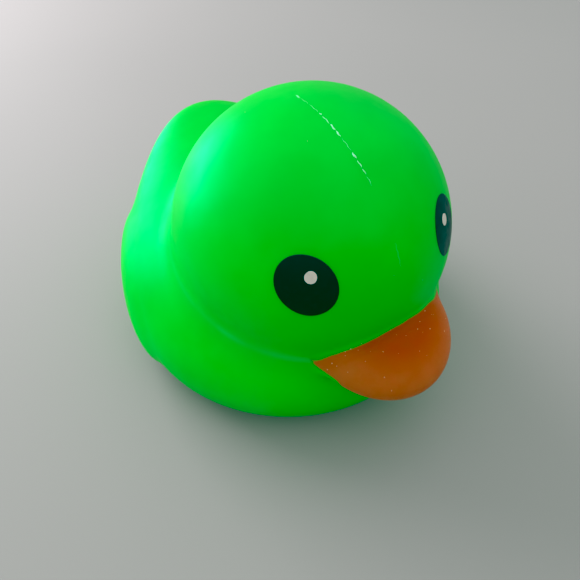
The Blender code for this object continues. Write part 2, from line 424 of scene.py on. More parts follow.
class Nodes:
    """A material under construction, with short ways to add the nodes that the finishes share."""

    def __init__(self, name: str) -> None:
        """Start a material with a bare Principled shader.

        Args:
            name: The material's name.
        """
        self.material = bpy.data.materials.new(name)
        self.material.use_nodes = True
        self.tree = self.material.node_tree
        self.shader = self.tree.nodes["Principled BSDF"]

    def set(self, name: str, value: float | tuple) -> None:
        """Set one of the shader's own sockets to a fixed value."""
        self.shader.inputs[name].default_value = value

    def link(self, source: Socket, target: Socket) -> None:
        """Join two sockets."""
        self.tree.links.new(source, target)

    def feed(self, name: str, source: Socket) -> None:
        """Join a socket to one of the shader's own."""
        self.link(source, self.shader.inputs[name])

    def place(self) -> Socket:
        """The point's own place on the piece, in metres."""
        return self.tree.nodes.new("ShaderNodeTexCoord").outputs["Object"]

    def noise(self, size: float, detail: float = 2.0, roughness: float = 0.5) -> Socket:
        """A cloudy pattern.

        Args:
            size: The width of one cloud.
            detail: How many finer layers it has.
            roughness: How strong the finer layers are.

        Returns:
            The pattern's output, about 0.5 on the whole.
        """
        node = self.tree.nodes.new("ShaderNodeTexNoise")
        node.inputs["Scale"].default_value = 1.0 / size
        node.inputs["Detail"].default_value = detail
        node.inputs["Roughness"].default_value = roughness
        self.link(self.place(), node.inputs["Vector"])
        return node.outputs["Fac"]

    def attribute(self, name: str) -> Socket:
        """A number that the mesh carries.

        Args:
            name: The attribute's name.

        Returns:
            The number's socket.
        """
        node = self.tree.nodes.new("ShaderNodeAttribute")
        node.attribute_name = name
        return node.outputs["Fac"]

    def math(self, kind: str, first: Socket, second: Socket | float) -> Socket:
        """One sum on two numbers.

        Args:
            kind: The sum's name, such as ADD.
            first: The first number's socket.
            second: The second number, or its socket.

        Returns:
            The result's socket.
        """
        node = self.tree.nodes.new("ShaderNodeMath")
        node.operation = kind
        self.link(first, node.inputs[0])
        if isinstance(second, (int, float)):
            node.inputs[1].default_value = second
        else:
            self.link(second, node.inputs[1])
        return node.outputs["Value"]

    def remap(self, source: Socket, low: float, high: float, to_low: float, to_high: float) -> Socket:
        """Stretch a range of one number over another, softly at both ends.

        Args:
            source: The number's socket.
            low: Where the range starts.
            high: Where it ends.
            to_low: What its start becomes.
            to_high: What its end becomes.

        Returns:
            The result's socket.
        """
        node = self.tree.nodes.new("ShaderNodeMapRange")
        node.interpolation_type = "SMOOTHSTEP"
        self.link(source, node.inputs["Value"])
        ends = {"From Min": low, "From Max": high, "To Min": to_low, "To Max": to_high}
        for name, value in ends.items():
            node.inputs[name].default_value = value
        return node.outputs["Result"]

    def mix(self, share: Socket, first: Socket | Colour, second: Socket | Colour) -> Socket:
        """Blend two colours.

        Args:
            share: How much of the second colour there is.
            first: The first colour, or its socket.
            second: The second colour, or its socket.

        Returns:
            The blended colour's socket.
        """
        node = self.tree.nodes.new("ShaderNodeMix")
        node.data_type = "RGBA"
        self.link(share, node.inputs["Factor"])
        for socket, colour in ((node.inputs[6], first), (node.inputs[7], second)):
            if isinstance(colour, tuple):
                socket.default_value = (*colour, 1.0)
            else:
                self.link(colour, socket)
        return node.outputs[2]

    def blend(self, share: Socket, first: Socket, second: Socket) -> Socket:
        """Blend two numbers.

        Args:
            share: How much of the second number there is.
            first: The first number's socket.
            second: The second number's socket.

        Returns:
            The blended number's socket.
        """
        node = self.tree.nodes.new("ShaderNodeMix")
        self.link(share, node.inputs["Factor"])
        self.link(first, node.inputs[2])
        self.link(second, node.inputs[3])
        return node.outputs[0]

    def patches(self, size: float, detail: float, low: float, high: float) -> Socket:
        """A number that wanders between two ends over the patches of a cloudy pattern."""
        return self.remap(self.noise(size, detail), *CLOUD_RANGE, low, high)

    def relief(self, height: Socket, depth: float, under: Socket | None = None) -> Socket:
        """Turn a pattern into fine relief.

        Args:
            height: The pattern's socket.
            depth: The relief's depth.
            under: The normal that it lies on, if there is one.

        Returns:
            The new normal's socket.
        """
        node = self.tree.nodes.new("ShaderNodeBump")
        node.inputs["Distance"].default_value = depth
        self.link(height, node.inputs["Height"])
        if under is not None:
            self.link(under, node.inputs["Normal"])
        return node.outputs["Normal"]


@dataclass(frozen=True)
class SkinFinish:
    """Soft satin green moulding with an orange coat sprayed over the bill, paler towards the bill's rim,
    where the paleness is painted highlight.

    Widths that are counted from the paint's edge are in millimetres, as the skin's own numbers are.
    """

    green: Colour = (0.0, 0.62, 0.018)
    deep_green: Colour = (0.0, 0.55, 0.006)
    # Painted highlight: a paler, bluer green for the sheen in the fold between head and body.
    crease_highlight_green: Colour = (0.01, 0.66, 0.13)
    deep_orange: Colour = (0.43, 0.034, 0.001)
    # Painted highlight: the paler orange at the bill's thin rim.
    rim_highlight_orange: Colour = (0.51, 0.112, 0.036)
    root_orange: Colour = (0.41, 0.050, 0.002)
    overspray: Colour = (0.10, 0.30, 0.004)
    green_cloud: float = 26.0 * MM
    crease_highlight_patch: float = 11.0 * MM
    crease_highlight_strength: tuple[float, float] = (0.1, 0.5)
    edge_wave: float = 2.6 * MM
    edge_raggedness: float = 0.62
    edge_softness: float = 0.25
    edge_waviness: float = 0.45
    mist_width: float = 1.4
    mist_strength: float = 0.5
    root_from: float = -7.0
    root_to: float = -0.5
    # Over what reach towards the bill's rim the painted highlight comes in.
    rim_highlight_from: float = 0.52
    rim_highlight_to: float = 0.94
    blotch_size: float = 5.0 * MM
    blotch_range: tuple[float, float] = (0.3, 0.75)
    blotch_strength: float = 0.3
    roughness_range: tuple[float, float] = (0.25, 0.75)
    satin: tuple[float, float] = (0.41, 0.49)
    satin_patch: float = 9.0 * MM
    sprayed: tuple[float, float] = (0.38, 0.52)
    sprayed_patch: float = 0.7 * MM
    dimple_size: float = 14.0 * MM
    dimple_depth: float = 0.25 * MM
    grain_size: float = 0.35 * MM
    grain_depth: float = 0.006 * MM
    coat_thickness: float = 0.05 * MM
    green_shine: float = 0.42
    coat_shine: float = 0.20
    scatter_share: float = 0.55
    scatter_colour: Colour = (0.12, 1.0, 0.35)
    scatter_depth: float = 7.0 * MM
    bend_of_light: float = 1.49

    def moulding(self, nodes: Nodes) -> Socket:
        """The green, faintly clouded, with a broken painted highlight in the fold between head and body: a
        paler, bluer line that stands in for the fold's sheen.

        Args:
            nodes: The material.

        Returns:
            The green's socket.
        """
        green = nodes.mix(nodes.patches(self.green_cloud, 3.0, 0.0, 1.0), self.deep_green, self.green)
        broken = nodes.patches(self.crease_highlight_patch, 2.0, *self.crease_highlight_strength)
        # Painted highlight along the fold between head and body, broken into patches.
        line = nodes.math("MULTIPLY", nodes.attribute("crease_highlight"), broken)
        return nodes.mix(line, green, self.crease_highlight_green)

    def paint(self, nodes: Nodes, past: Socket) -> Socket:
        """The orange, deep in the bill's middle and paler at its rim, where a painted highlight stands in
        for light on the thin rim.

        Args:
            nodes: The material.
            past: How far each point lies past the paint's edge.

        Returns:
            The orange's socket.
        """
        # Painted highlight: the orange turns paler towards the bill's rim.
        rim = nodes.remap(nodes.attribute("bill_reach"), self.rim_highlight_from, self.rim_highlight_to, 0.0, 1.0)
        root = nodes.remap(past, self.root_from, self.root_to, 0.0, 1.0)
        cloud = nodes.noise(self.blotch_size, 3.0)
        blotch = nodes.remap(cloud, *self.blotch_range, 0.0, self.blotch_strength)
        orange = nodes.mix(root, self.deep_orange, self.root_orange)
        orange = nodes.mix(rim, orange, self.rim_highlight_orange)
        return nodes.mix(blotch, orange, self.root_orange)

    def surface(self, nodes: Nodes, coat: Socket) -> None:
        """Give the skin its satin, its shallow dimples and fine grain, and the coat its step.

        Args:
            nodes: The material.
            coat: 1 under the paint and 0 off it.
        """
        satin = nodes.remap(nodes.noise(self.satin_patch, 4.0), *self.roughness_range, *self.satin)
        sprayed = nodes.remap(nodes.noise(self.sprayed_patch, 3.0), *self.roughness_range, *self.sprayed)
        nodes.feed("Roughness", nodes.blend(coat, satin, sprayed))
        nodes.feed("Specular IOR Level", nodes.remap(coat, 0.0, 1.0, self.green_shine, self.coat_shine))
        dimples = nodes.relief(nodes.noise(self.dimple_size), self.dimple_depth)
        grain = nodes.relief(nodes.noise(self.grain_size), self.grain_depth, dimples)
        nodes.feed("Normal", nodes.relief(coat, self.coat_thickness, grain))

    def material(self) -> bpy.types.Material:
        """Build the finish.

        Returns:
            The material, which reads the numbers that the skin carries for its paint, bill and fold.
        """
        nodes = Nodes("soft_green_and_sprayed_orange")
        past = nodes.attribute("past_paint_mm")
        wave = nodes.math("SUBTRACT", nodes.noise(self.edge_wave, 4.0, self.edge_raggedness), 0.5)
        wavy = nodes.math("ADD", past, nodes.math("MULTIPLY", wave, 2.0 * self.edge_waviness))
        coat = nodes.remap(wavy, -self.edge_softness, self.edge_softness, 1.0, 0.0)
        mist = nodes.remap(wavy, 0.0, self.mist_width, self.mist_strength, 0.0)
        misted = nodes.mix(mist, self.moulding(nodes), self.overspray)
        nodes.feed("Base Color", nodes.mix(coat, misted, self.paint(nodes, past)))
        self.surface(nodes, coat)
        nodes.set("Subsurface Weight", self.scatter_share)
        nodes.set("Subsurface Radius", self.scatter_colour)
        nodes.set("Subsurface Scale", self.scatter_depth)
        nodes.set("IOR", self.bend_of_light)
        return nodes.material


@dataclass(frozen=True)
class PrintFinish:
    """Pad-printed ink, semi-gloss and very slightly uneven."""

    name: str
    colour: Colour
    worn_colour: Colour
    roughness: tuple[float, float] = (0.34, 0.44)
    wear_patch: float = 1.8 * MM
    wear_range: tuple[float, float] = (0.45, 0.8)
    wear_strength: float = 0.6
    roughness_patch: float = 2.5 * MM
    grain_size: float = 0.5 * MM
    grain_depth: float = 0.008 * MM
    bend_of_light: float = 1.34

    def material(self) -> bpy.types.Material:
        """Build the finish.

        Returns:
            The ink's material.
        """
        nodes = Nodes(self.name)
        wear = nodes.remap(nodes.noise(self.wear_patch, 4.0), *self.wear_range, 0.0, self.wear_strength)
        nodes.feed("Base Color", nodes.mix(wear, self.colour, self.worn_colour))
        nodes.feed("Roughness", nodes.patches(self.roughness_patch, 3.0, *self.roughness))
        nodes.feed("Normal", nodes.relief(nodes.noise(self.grain_size), self.grain_depth))
        nodes.set("IOR", self.bend_of_light)
        return nodes.material


@dataclass(frozen=True)
class FlashFinish:
    """Thin torn flash, stretched pale, whose pale colour is partly its own whitening and partly a painted
    highlight where it catches the light.
    """

    # The pale colour is partly the torn flash's own whitening and partly painted highlight.
    pale: Colour = (0.42, 0.95, 0.55)
    dull: Colour = (0.06, 0.66, 0.14)
    roughness: tuple[float, float] = (0.3, 0.5)
    roughness_patch: float = 0.5 * MM
    scatter_share: float = 0.4
    scatter_colour: Colour = (0.3, 1.0, 0.5)
    scatter_depth: float = 1.5 * MM

    def material(self) -> bpy.types.Material:
        """Build the finish.

        Returns:
            The flash's material, which reads how strongly each point stands out.
        """
        nodes = Nodes("torn_flash")
        strength = nodes.attribute("strength")
        # Brighter stretches are paler: partly the flash's own colour, partly painted highlight.
        nodes.feed("Base Color", nodes.mix(strength, self.dull, self.pale))
        nodes.feed("Roughness", nodes.patches(self.roughness_patch, 2.0, *self.roughness))
        nodes.set("Subsurface Weight", self.scatter_share)
        nodes.set("Subsurface Radius", self.scatter_colour)
        nodes.set("Subsurface Scale", self.scatter_depth)
        return nodes.material


@dataclass(frozen=True)
class DustFinish:
    """Pale dust and grit."""

    pale: Colour = (0.90, 0.78, 0.50)
    dark: Colour = (0.50, 0.36, 0.20)
    patch: float = 1.5 * MM
    roughness: float = 0.8

    def material(self) -> bpy.types.Material:
        """Build the finish.

        Returns:
            The dust's material.
        """
        nodes = Nodes("dust")
        nodes.feed("Base Color", nodes.mix(nodes.noise(self.patch), self.pale, self.dark))
        nodes.set("Roughness", self.roughness)
        return nodes.material


# The duck's pieces


@dataclass
class Skin:
    """The whole moulding as one fine closed skin."""

    form: DuckForm
    finish: SkinFinish = field(default_factory=SkinFinish)
    voxel: float = 1.05 * MM
    rounds: int = 12
    last_rounds: int = 3
    bill_edge: float = 0.75 * MM
    fine_past_root: float = 2.0 * MM
    ridge_height: float = 0.28 * MM
    ridge_width: float = 4.0 * MM
    ridge_fade_at_root: float = 6.0 * MM
    ridge_fade_at_rim: float = 4.0 * MM
    paint_past_root: float = 0.45 * MM
    paint_crown_rise: float = 1.0 * MM
    paint_crown_width: float = 8.0 * MM
    paint_corner_out: float = 26.1 * MM
    paint_corner_rise: float = 2.05 * MM
    paint_corner_width: float = 2.0 * MM
    paint_low_edge: float = 0.8 * MM
    paint_low_rise: float = 2.6 * MM
    paint_low_width: float = 1.5 * MM
    paint_wraps_ahead_of: float = 44.6 * MM
    paint_dip: float = 0.95 * MM
    paint_dip_at: float = 20.0 * MM
    paint_dip_width: float = 3.5 * MM
    # Where the fold's painted highlight line lies, and how wide it is.
    crease_highlight_above: float = 2.9 * MM
    crease_highlight_width: float = 1.0 * MM

    def rough(self) -> bpy.types.Object:
        """Remesh the overlapping round forms into one closed skin.

        Returns:
            The skin's object, before it is evened.
        """
        work = bmesh.new()
        for egg in self.form.eggs():
            egg.add_ball(work)
        mesh = bpy.data.meshes.new("rough")
        work.to_mesh(mesh)
        work.free()
        return self.remeshed(new_object("rough", mesh))

    def remeshed(self, thing: bpy.types.Object) -> bpy.types.Object:
        """Build an object's skin anew from even cells.

        Args:
            thing: The object, which is removed.

        Returns:
            A new object with the even skin.
        """
        remesh = thing.modifiers.new("one_skin", "REMESH")
        remesh.mode = "VOXEL"
        remesh.voxel_size = self.voxel
        seen = thing.evaluated_get(bpy.context.evaluated_depsgraph_get())
        even = bpy.data.meshes.new_from_object(seen)
        bpy.data.objects.remove(thing)
        return new_object("duck_skin", even)

    def relax(self, mesh: bpy.types.Mesh, rounds: int) -> None:
        """Even out the vertices' spacing and keep them on the form.

        Args:
            mesh: The skin.
            rounds: How often it is evened.
        """
        points = read_points(mesh)
        edges = read_edges(mesh)
        for _ in range(rounds):
            points = (points + neighbour_mean(points, edges)) / 2.0
            points = self.form.settle(points, rounds=1)
        write_points(mesh, self.form.settle(points))

    def refine_bill(self, mesh: bpy.types.Mesh) -> None:
        """Split the faces on the bill and round its root, for its thin rim.

        Args:
            mesh: The skin.
        """
        past = self.form.past_bill(read_points(mesh))
        work = bmesh.new()
        work.from_mesh(mesh)
        near = {vertex for vertex, at in zip(work.verts, past) if at < self.fine_past_root}
        edges = [edge for edge in work.edges if near.issuperset(edge.verts)]
        long = [edge for edge in edges if edge.calc_length() > self.bill_edge]
        bmesh.ops.subdivide_edges(work, edges=long, cuts=1, use_grid_fill=True)
        bmesh.ops.triangulate(work, faces=[face for face in work.faces if len(face.verts) > 4])
        work.to_mesh(mesh)
        work.free()

    def past_paint(self, points: np.ndarray) -> np.ndarray:
        """How far points lie past the paint's edge.

        Its top edge runs just above the bill's root and its low edge along the bill's side. They meet in
        a sharp corner at each side.

        Args:
            points: Points on the skin.

        Returns:
            One distance for each point, negative under the paint.
        """
        across = points[:, 0]
        past_corner = np.abs(across - self.form.bill_to_left) - self.paint_corner_out
        corner = np.exp(np.minimum(past_corner, 0.0) / self.paint_corner_width)
        rise = self.paint_past_root + self.paint_crown_rise * bell(across, self.paint_crown_width)
        rise += self.paint_corner_rise * corner
        rise -= self.paint_dip * bell(across - self.paint_dip_at, self.paint_dip_width)
        low_edge = self.paint_low_edge + self.paint_low_rise * np.exp(past_corner / self.paint_low_width)
        low_edge -= np.maximum(-points[:, 1] - self.paint_wraps_ahead_of, 0.0)
        below = low_edge - self.form.bill().local(points)[:, 2]
        return np.maximum(self.form.past_bill(points) - rise, below)

    def crease_highlight(self, points: np.ndarray) -> np.ndarray:
        """How close points lie to the fold between head and body, with 1 in its line of painted highlight.
        """
        off = self.form.head().gap(points) - self.form.body().gap(points)
        return bell(off + self.crease_highlight_above, self.crease_highlight_width)

    def bill_reach(self, points: np.ndarray) -> np.ndarray:
        """How far out towards the bill's rim points lie.

        Args:
            points: Points on the skin.

        Returns:
            One number for each point, with 1 at the rim.
        """
        bill = self.form.bill()
        local = bill.local(points)
        return np.hypot(local[:, 0] / bill.half[0], local[:, 1] / bill.half[1])

    def raise_ridge(self, mesh: bpy.types.Mesh, parting: Parting) -> None:
        """Give the bill's crown its low ridge along the parting line.

        Args:
            mesh: The skin.
            parting: The mould's parting plane.
        """
        points = read_points(mesh)
        on_bill = np.clip(-self.form.past_bill(points) / self.ridge_fade_at_root, 0.0, 1.0)
        above = np.clip(self.form.bill().local(points)[:, 2] / self.ridge_fade_at_rim, 0.0, 1.0)
        near = np.exp(-np.abs(parting.off(points)) / self.ridge_width)
        lift = self.ridge_height * near * on_bill * above
        write_points(mesh, points + lift[:, None] * self.form.slope(points))

    def build(self, parting: Parting) -> bpy.types.Object:
        """Make the skin and dress it.

        Args:
            parting: The mould's parting plane.

        Returns:
            The finished piece, with the head's middle still over the origin.
        """
        thing = self.rough()
        self.relax(thing.data, self.rounds)
        thing = self.remeshed(thing)
        mesh = thing.data
        self.relax(mesh, self.rounds)
        self.refine_bill(mesh)
        self.relax(mesh, self.last_rounds)
        points = read_points(mesh)
        float_attribute(mesh, "past_paint_mm", self.past_paint(points) / MM)
        float_attribute(mesh, "bill_reach", self.bill_reach(points))
        float_attribute(mesh, "crease_highlight", self.crease_highlight(points))
        self.raise_ridge(mesh, parting)
        mesh.shade_smooth()
        mesh.materials.append(self.finish.material())
        return thing


@dataclass(frozen=True)
class Mark:
    """A stretch of flash: its start and end along the line in degrees, its half width and brightness, which
    is partly painted highlight.
    """

    start: float
    end: float
    half_width: float
    strength: float


@dataclass
class Parting:
    """The mould's parting plane, through the head's middle, and the flash that it left on the skin.

    The plane's lean and turn are in degrees. A strip's profile gives points across it, as shares of its
    half width, and each point's height as a share of the ridge. None stands for the sunk edge. The line
    wanders in waves, each with its reach and its pace.
    """

    form: DuckForm
    lean: float = 5.05
    turn: float = 1.58
    finish: FlashFinish = field(default_factory=FlashFinish)
    marks: tuple[Mark, ...] = (
        Mark(-2.8, -0.2, 0.24 * MM, 0.7),
        Mark(0.4, 4.6, 0.10 * MM, 0.3),
        Mark(5.2, 10.0, 0.13 * MM, 0.4),
        Mark(10.6, 11.8, 0.24 * MM, 0.9),
        Mark(12.4, 16.2, 0.20 * MM, 0.75),
        Mark(16.6, 19.4, 0.34 * MM, 1.0),
        Mark(19.7, 22.2, 0.30 * MM, 1.0),
        Mark(22.8, 28.0, 0.12 * MM, 0.4),
        Mark(28.6, 31.0, 0.38 * MM, 0.95),
        Mark(31.6, 34.2, 0.22 * MM, 0.8),
        Mark(34.6, 36.8, 0.20 * MM, 0.7),
        Mark(37.4, 40.6, 0.13 * MM, 0.35),
        Mark(60.0, 69.0, 0.07 * MM, 0.08),
    )
    step_degrees: float = 0.25
    proud: float = 0.16 * MM
    sunk: float = 0.12 * MM
    thinnest: float = 0.02 * MM
    height_of_width: float = 0.6
    ragged_mean: float = 0.8
    ragged_swing: float = 0.35
    ragged_paces: tuple[float, float] = (7.1, 3.7)
    wanders: tuple[tuple[float, float], ...] = ((0.1 * MM, 2.3), (0.05 * MM, 9.0))
    profile: tuple[tuple[float, float | None], ...] = (
        (-1.0, None),
        (-0.8, 0.1),
        (-0.35, 1.0),
        (0.35, 1.0),
        (0.8, 0.1),
        (1.0, None),
    )

    def axes(self) -> tuple[Vector, Vector, Vector]:
        """The plane's own ways.

        Returns:
            The ways across, up and ahead, each a unit long.
        """
        turn = Matrix.Rotation(math.radians(self.turn), 3, "Z")
        spin = turn @ Matrix.Rotation(-math.radians(self.lean), 3, "Y")
        return spin @ Vector((1, 0, 0)), spin @ Vector((0, 0, 1)), spin @ Vector((0, -1, 0))

    def off(self, points: np.ndarray) -> np.ndarray:
        """How far points lie to the duck's left of the plane."""
        return (points - np.array((0.0, 0.0, self.form.head_height))) @ np.array(self.axes()[0])

    def strength(self, degrees: float) -> tuple[float, float]:
        """How the flash stands at one place on the line.

        Args:
            degrees: The place, counted from the crown towards the bill.

        Returns:
            Its half width and its brightness.
        """
        for mark in self.marks:
            if mark.start <= degrees <= mark.end:
                along = (degrees - mark.start) / (mark.end - mark.start)
                swell = math.sin(math.pi * along) ** 0.5
                first, second = self.ragged_paces
                swing = math.sin(first * degrees) * math.sin(second * degrees + 1.0)
                ragged = self.ragged_mean + self.ragged_swing * swing
                return mark.half_width * swell * ragged, mark.strength
        return 0.0, 0.0

    def strip(self, mark: Mark, points: list, faces: list, strengths: list) -> None:
        """Add one stretch of flash as a low closed ridge, sunk a little into the skin.

        Args:
            mark: The stretch.
            points: The vertices so far.
            faces: The faces so far.
            strengths: Each vertex's brightness so far.
        """
        across, up, ahead = self.axes()
        middle = Vector((0.0, 0.0, self.form.head_height))
        count = max(4, round((mark.end - mark.start) / self.step_degrees))
        rings = []
        for index in range(count + 1):
            degrees = mark.start + (mark.end - mark.start) * index / count
            angle = math.radians(degrees)
            out = up * math.cos(angle) + ahead * math.sin(angle)
            width, strength = self.strength(degrees)
            width = max(width, self.thinnest)
            wander = sum(reach * math.sin(pace * degrees) for reach, pace in self.wanders)
            height = min(self.proud, self.height_of_width * width)
            ring = []
            for side, share in self.profile:
                lift = -self.sunk if share is None else share * height
                place = middle + out * (self.form.head_radius + lift) + across * (side * width + wander)
                ring.append(len(points))
                points.append(place)
                strengths.append(strength)
            rings.append(ring)
        for first, second in zip(rings, rings[1:]):
            for at in range(len(first)):
                following = (at + 1) % len(first)
                faces.append((first[at], first[following], second[following], second[at]))
        faces.append(tuple(rings[0]))
        faces.append(tuple(reversed(rings[-1])))

    def build(self) -> bpy.types.Object:
        """Make the flash along the head's crown.

        Returns:
            The finished piece.
        """
        points: list[Vector] = []
        faces: list[tuple[int, ...]] = []
        strengths: list[float] = []
        for mark in self.marks:
            self.strip(mark, points, faces, strengths)
        mesh = mesh_of(points, faces)
        float_attribute(mesh, "strength", np.array(strengths))
        thing = new_object("parting_flash", mesh)
        mesh.materials.append(self.finish.material())
        return thing


@dataclass(frozen=True)
class EyePrint:
    """One eye: a dark oval print and the light spot printed over it.

    Turn, rise and lean are in degrees. The turn counts from straight ahead towards the duck's left, and
    the lean counts outwards from upright.
    """

    form: DuckForm
    side: str
    turn: float
    rise: float
    lean: float
    spot_turn: float
    spot_rise: float
    half_height: float = 8.95 * MM
    half_width: float = 7.68 * MM
    spot_half: tuple[float, float] = (1.716 * MM, 1.6005 * MM)
    ink: float = 0.05 * MM
    spot_lift: float = 0.11 * MM
    sunk: float = 0.10 * MM
    rim_bead: float = 0.03 * MM
    rim_bead_width: float = 0.05
    flat_share: float = 0.985
    rim: tuple[tuple[float, float], ...] = ((0.996, 0.7), (1.0, 0.2))
    oval_wobble: float = 0.003
    spot_wobble: float = 0.012
    rings: int = 26
    segments: int = 120

    def pad(
        self,
        name: str,
        ways: tuple[Vector, Vector, Vector],
        half: tuple[float, float],
        lift: float,
        wobble: float,
    ) -> bpy.types.Object:
        """One print as a thin closed shell that follows the head, with a slight bead at its rim.

        Args:
            name: The piece's name.
            ways: The way out of the head at the print's middle, and the print's own ways up and across.
            half: Half its height and half its width.
            lift: How far the print stands off the head.
            wobble: How far its outline strays from a true oval, as a share.

        Returns:
            The new object.
        """
        middle = Vector((0.0, 0.0, self.form.head_height))
        radius = self.form.head_radius
        ahead, tall, wide = ways
        ahead = ahead.normalized()
        profile = []
        for index in range(1, self.rings + 1):
            share = index / self.rings * self.flat_share
            bead = self.rim_bead * bell(1.0 - share, self.rim_bead_width)
            profile.append((share, lift + bead))
        profile += [(share, lift * up) for share, up in self.rim]
        profile.append((1.0, -self.sunk))
        points = [middle + ahead * (radius + lift)]
        for share, up in profile:
            for step in range(self.segments):
                angle = 2.0 * math.pi * step / self.segments
                stray = 1.0 + wobble * (math.sin(3.0 * angle + 0.7) + 0.6 * math.sin(5.0 * angle + 2.0))
                rise = half[0] * share * math.cos(angle) * stray
                span = half[1] * share * math.sin(angle) * stray
                out = math.sqrt(radius**2 - rise**2 - span**2)
                ray = tall * rise + wide * span + ahead * out
                points.append(middle + ray.normalized() * (radius + up))
        points.append(middle + ahead * (radius - self.sunk))
        faces = []
        for step in range(self.segments):
            following = (step + 1) % self.segments
            faces.append((0, 1 + step, 1 + following))
            for ring in range(len(profile) - 1):
                inner = 1 + ring * self.segments
                outer = inner + self.segments
                faces.append((inner + step, outer + step, outer + following, inner + following))
            last = 1 + (len(profile) - 1) * self.segments
            faces.append((last + step, len(points) - 1, last + following))
        return new_object(name, mesh_of(points, faces))

    def build(self, ink: bpy.types.Material, white: bpy.types.Material) -> list[bpy.types.Object]:
        """Print the oval and its spot.

        Args:
            ink: The dark ink.
            white: The light ink.

        Returns:
            The oval and the spot.
        """
        ahead = self.form.direction(self.turn, self.rise)
        side = Vector((0.0, 0.0, 1.0)).cross(ahead).normalized()
        up = ahead.cross(side)
        away = side if self.turn > 0.0 else -side
        lean = math.radians(self.lean)
        tall = up * math.cos(lean) + away * math.sin(lean)
        wide = away * math.cos(lean) - up * math.sin(lean)
        half = (self.half_height, self.half_width)
        oval = self.pad(f"eye_print_{self.side}", (ahead, tall, wide), half, self.ink, self.oval_wobble)
        oval.data.materials.append(ink)
        out = self.form.direction(self.spot_turn, self.spot_rise)
        across = Vector((0.0, 0.0, 1.0)).cross(out).normalized()
        ways = (out, out.cross(across), across)
        spot = self.pad(f"eye_spot_{self.side}", ways, self.spot_half, self.spot_lift, self.spot_wobble)
        spot.data.materials.append(white)
        return [oval, spot]


@dataclass
class Dust:
    """Grains of dust that stuck to the bill's coat, with a few on the head.

    The grains that can be seen one by one have their places given in millimetres from the head's middle.
    The others fall by chance. Each grain's size and stretch are drawn from ranges.
    """

    form: DuckForm
    finish: DustFinish = field(default_factory=DustFinish)
    on_bill: int = 20
    on_head: int = 5
    half_size: tuple[float, float] = (0.07 * MM, 0.15 * MM)
    half_size_share: tuple[float, float] = (0.7, 1.2)
    on_head_share: float = 0.6
    seed: int = 11
    inside_root: float = 0.5 * MM
    near_root: float = 5.0 * MM
    least_slope: float = 0.15
    clear_of_bill: float = 3.0 * MM
    off_ball: float = 0.1 * MM
    lowest_on_head: float = 40.0 * MM
    stretch: tuple[float, float] = (0.7, 1.35)
    unevenness: float = 0.14
    flatness: float = 0.7
    seen_half_size: float = 0.17 * MM
    seen_on_head_half_size: float = 0.09 * MM
    seen_share: tuple[float, float] = (0.75, 1.1)
    seen: tuple[Point, ...] = (
        (-1.9, -45.1, -5.2),
        (-6.3, -47.8, -9.4),
        (-19.1, -41.2, -13.2),
        (12.4, -44.1, -6.9),
        (8.6, -45.8, -7.4),
        (11.1, -48.4, -9.6),
        (-8.3, -55.4, -17.5),
        (-10.9, -43.8, -6.6),
        (-15.3, -42.4, -9.0),
        (-14.0, -42.9, -8.4),
        (-16.6, 7.5, 41.2),
        (-10.5, -14.2, 41.4),
        (-18.9, 78.9, 7.2),
        (-2.9, -42.4, 14.8),
    )

    def grain(
        self,
        work: bmesh.types.BMesh,
        place: np.ndarray,
        out: np.ndarray,
        size: float,
        draw: np.random.Generator,
    ) -> None:
        """Add one uneven grain, half sunk into the coat.

        Args:
            work: The mesh that gains the grain.
            place: Its place on the skin.
            out: The way out of the skin there.
            size: Its half size.
            draw: The source of chance.
        """
        ball = bmesh.ops.create_icosphere(work, subdivisions=2, radius=1.0)["verts"]
        tilt = Vector(out / np.linalg.norm(out)).to_track_quat("Z", "Y").to_matrix()
        stretch = draw.uniform(*self.stretch, 2)
        for vertex in ball:
            uneven = 1.0 + draw.uniform(-self.unevenness, self.unevenness)
            flat = Vector((vertex.co.x * stretch[0], vertex.co.y * stretch[1], vertex.co.z * self.flatness))
            vertex.co = tilt @ (flat * size * uneven) + Vector(place)

    def build(self, skin: bpy.types.Mesh) -> bpy.types.Object:
        """Scatter the grains.

        Args:
            skin: The skin that they lie on.

        Returns:
            The finished piece.
        """
        draw = np.random.default_rng(self.seed)
        points = read_points(skin)
        out = self.form.slope(points)
        past = self.form.past_bill(points)
        from_middle = points - np.array(self.form.head().middle)
        off_ball = np.abs(np.linalg.norm(from_middle, axis=1) - self.form.head_radius)
        high = points[:, 2] > self.lowest_on_head
        bill_top = np.flatnonzero((past < -self.inside_root) & (out[:, 2] > self.least_slope))
        on_head = np.flatnonzero((off_ball < self.off_ball) & (past > self.clear_of_bill) & high)
        work = bmesh.new()
        for place in self.seen:
            at = np.linalg.norm(from_middle - np.array(place) * MM, axis=1).argmin()
            on_bill = past[at] <= self.clear_of_bill
            size = self.seen_half_size if on_bill else self.seen_on_head_half_size
            self.grain(work, points[at], out[at], size * draw.uniform(*self.seen_share), draw)
        near = np.exp(past[bill_top] / self.near_root)
        even = np.ones(len(on_head))
        groups = ((bill_top, near, self.on_bill, 1.0), (on_head, even, self.on_head, self.on_head_share))
        for places, chance, count, share in groups:
            for at in draw.choice(places, count, replace=False, p=chance / chance.sum()):
                size = share * draw.uniform(*self.half_size) * draw.uniform(*self.half_size_share)
                self.grain(work, points[at], out[at], size, draw)
        mesh = bpy.data.meshes.new("dust")
        work.to_mesh(mesh)
        work.free()
        thing = new_object("dust_grains", mesh)
        mesh.materials.append(self.finish.material())
        return thing


